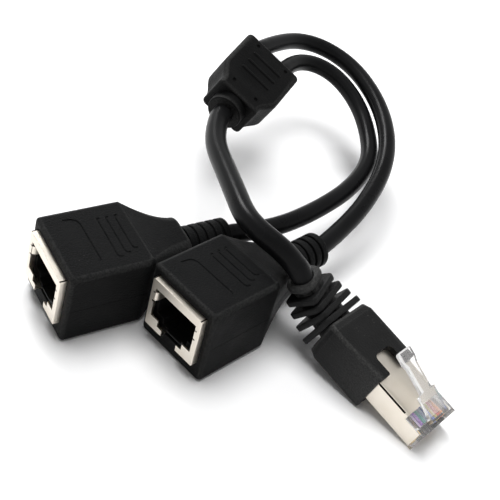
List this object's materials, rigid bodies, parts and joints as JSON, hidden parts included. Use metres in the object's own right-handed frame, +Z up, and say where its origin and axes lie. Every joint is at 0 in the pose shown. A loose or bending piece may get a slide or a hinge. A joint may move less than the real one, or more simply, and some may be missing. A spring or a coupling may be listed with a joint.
{
  "type": "network cable splitter lead",
  "caption": "Short Y lead: a shielded clear plug with a ribbed boot, a junction block and two shielded sockets on thin cables.",
  "frame": {"origin": "middle of the near socket's flat base, on the surface it lies on", "axes": "+Z up from that surface, -Y out of the near socket's mouth, +X towards the plug"},
  "size_m": [0.1132, 0.1259, 0.0341],
  "materials": {
    "black_pvc": "fine matte grain, moulded",
    "cable_pvc": "satin extruded jacket",
    "insert_black": "matte moulded insert",
    "nickel_sheet": "nickel plated sheet, soft sheen",
    "gold_plate": "gold plated spring wire",
    "clear_polycarbonate": "clear moulded, glossy",
    "conductor_1": "insulated core",
    "conductor_2": "insulated core",
    "conductor_3": "insulated core",
    "conductor_4": "insulated core",
    "conductor_5": "insulated core",
    "conductor_6": "insulated core",
    "conductor_7": "insulated core",
    "conductor_8": "insulated core"
  },
  "bodies": {
    "lead": {"plug_boot": "black_pvc", "plug_shield": "nickel_sheet", "plug_body": "clear_polycarbonate", "plug_blade_1": "gold_plate", "plug_blade_2": "gold_plate", "plug_blade_3": "gold_plate", "plug_blade_4": "gold_plate", "plug_blade_5": "gold_plate", "plug_blade_6": "gold_plate", "plug_blade_7": "gold_plate", "plug_blade_8": "gold_plate", "plug_wire_1": "conductor_1", "plug_wire_2": "conductor_2", "plug_wire_3": "conductor_3", "plug_wire_4": "conductor_4", "plug_wire_5": "conductor_5", "plug_wire_6": "conductor_6", "plug_wire_7": "conductor_7", "plug_wire_8": "conductor_8", "trunk_cable": "cable_pvc", "junction_block": "black_pvc", "near_branch_cable": "cable_pvc", "left_branch_cable": "cable_pvc", "near_housing": "black_pvc", "near_shield": "nickel_sheet", "near_insert": "insert_black", "near_contact_1": "gold_plate", "near_contact_2": "gold_plate", "near_contact_3": "gold_plate", "near_contact_4": "gold_plate", "near_contact_5": "gold_plate", "near_contact_6": "gold_plate", "near_contact_7": "gold_plate", "near_contact_8": "gold_plate", "left_housing": "black_pvc", "left_shield": "nickel_sheet", "left_insert": "insert_black", "left_contact_1": "gold_plate", "left_contact_2": "gold_plate", "left_contact_3": "gold_plate", "left_contact_4": "gold_plate", "left_contact_5": "gold_plate", "left_contact_6": "gold_plate", "left_contact_7": "gold_plate", "left_contact_8": "gold_plate"},
    "latch": {"plug_latch": "clear_polycarbonate"}
  },
  "joints": [
    {"name": "latch_hinge", "type": "hinge", "parent": "lead", "child": "latch", "pos_m": [0.05038, 0.02298, 0.00796], "axis": [0.0515, -0.9987, 0], "range_deg": [0, 12], "stiffness_Nm_per_rad": 0.02}
  ]
}
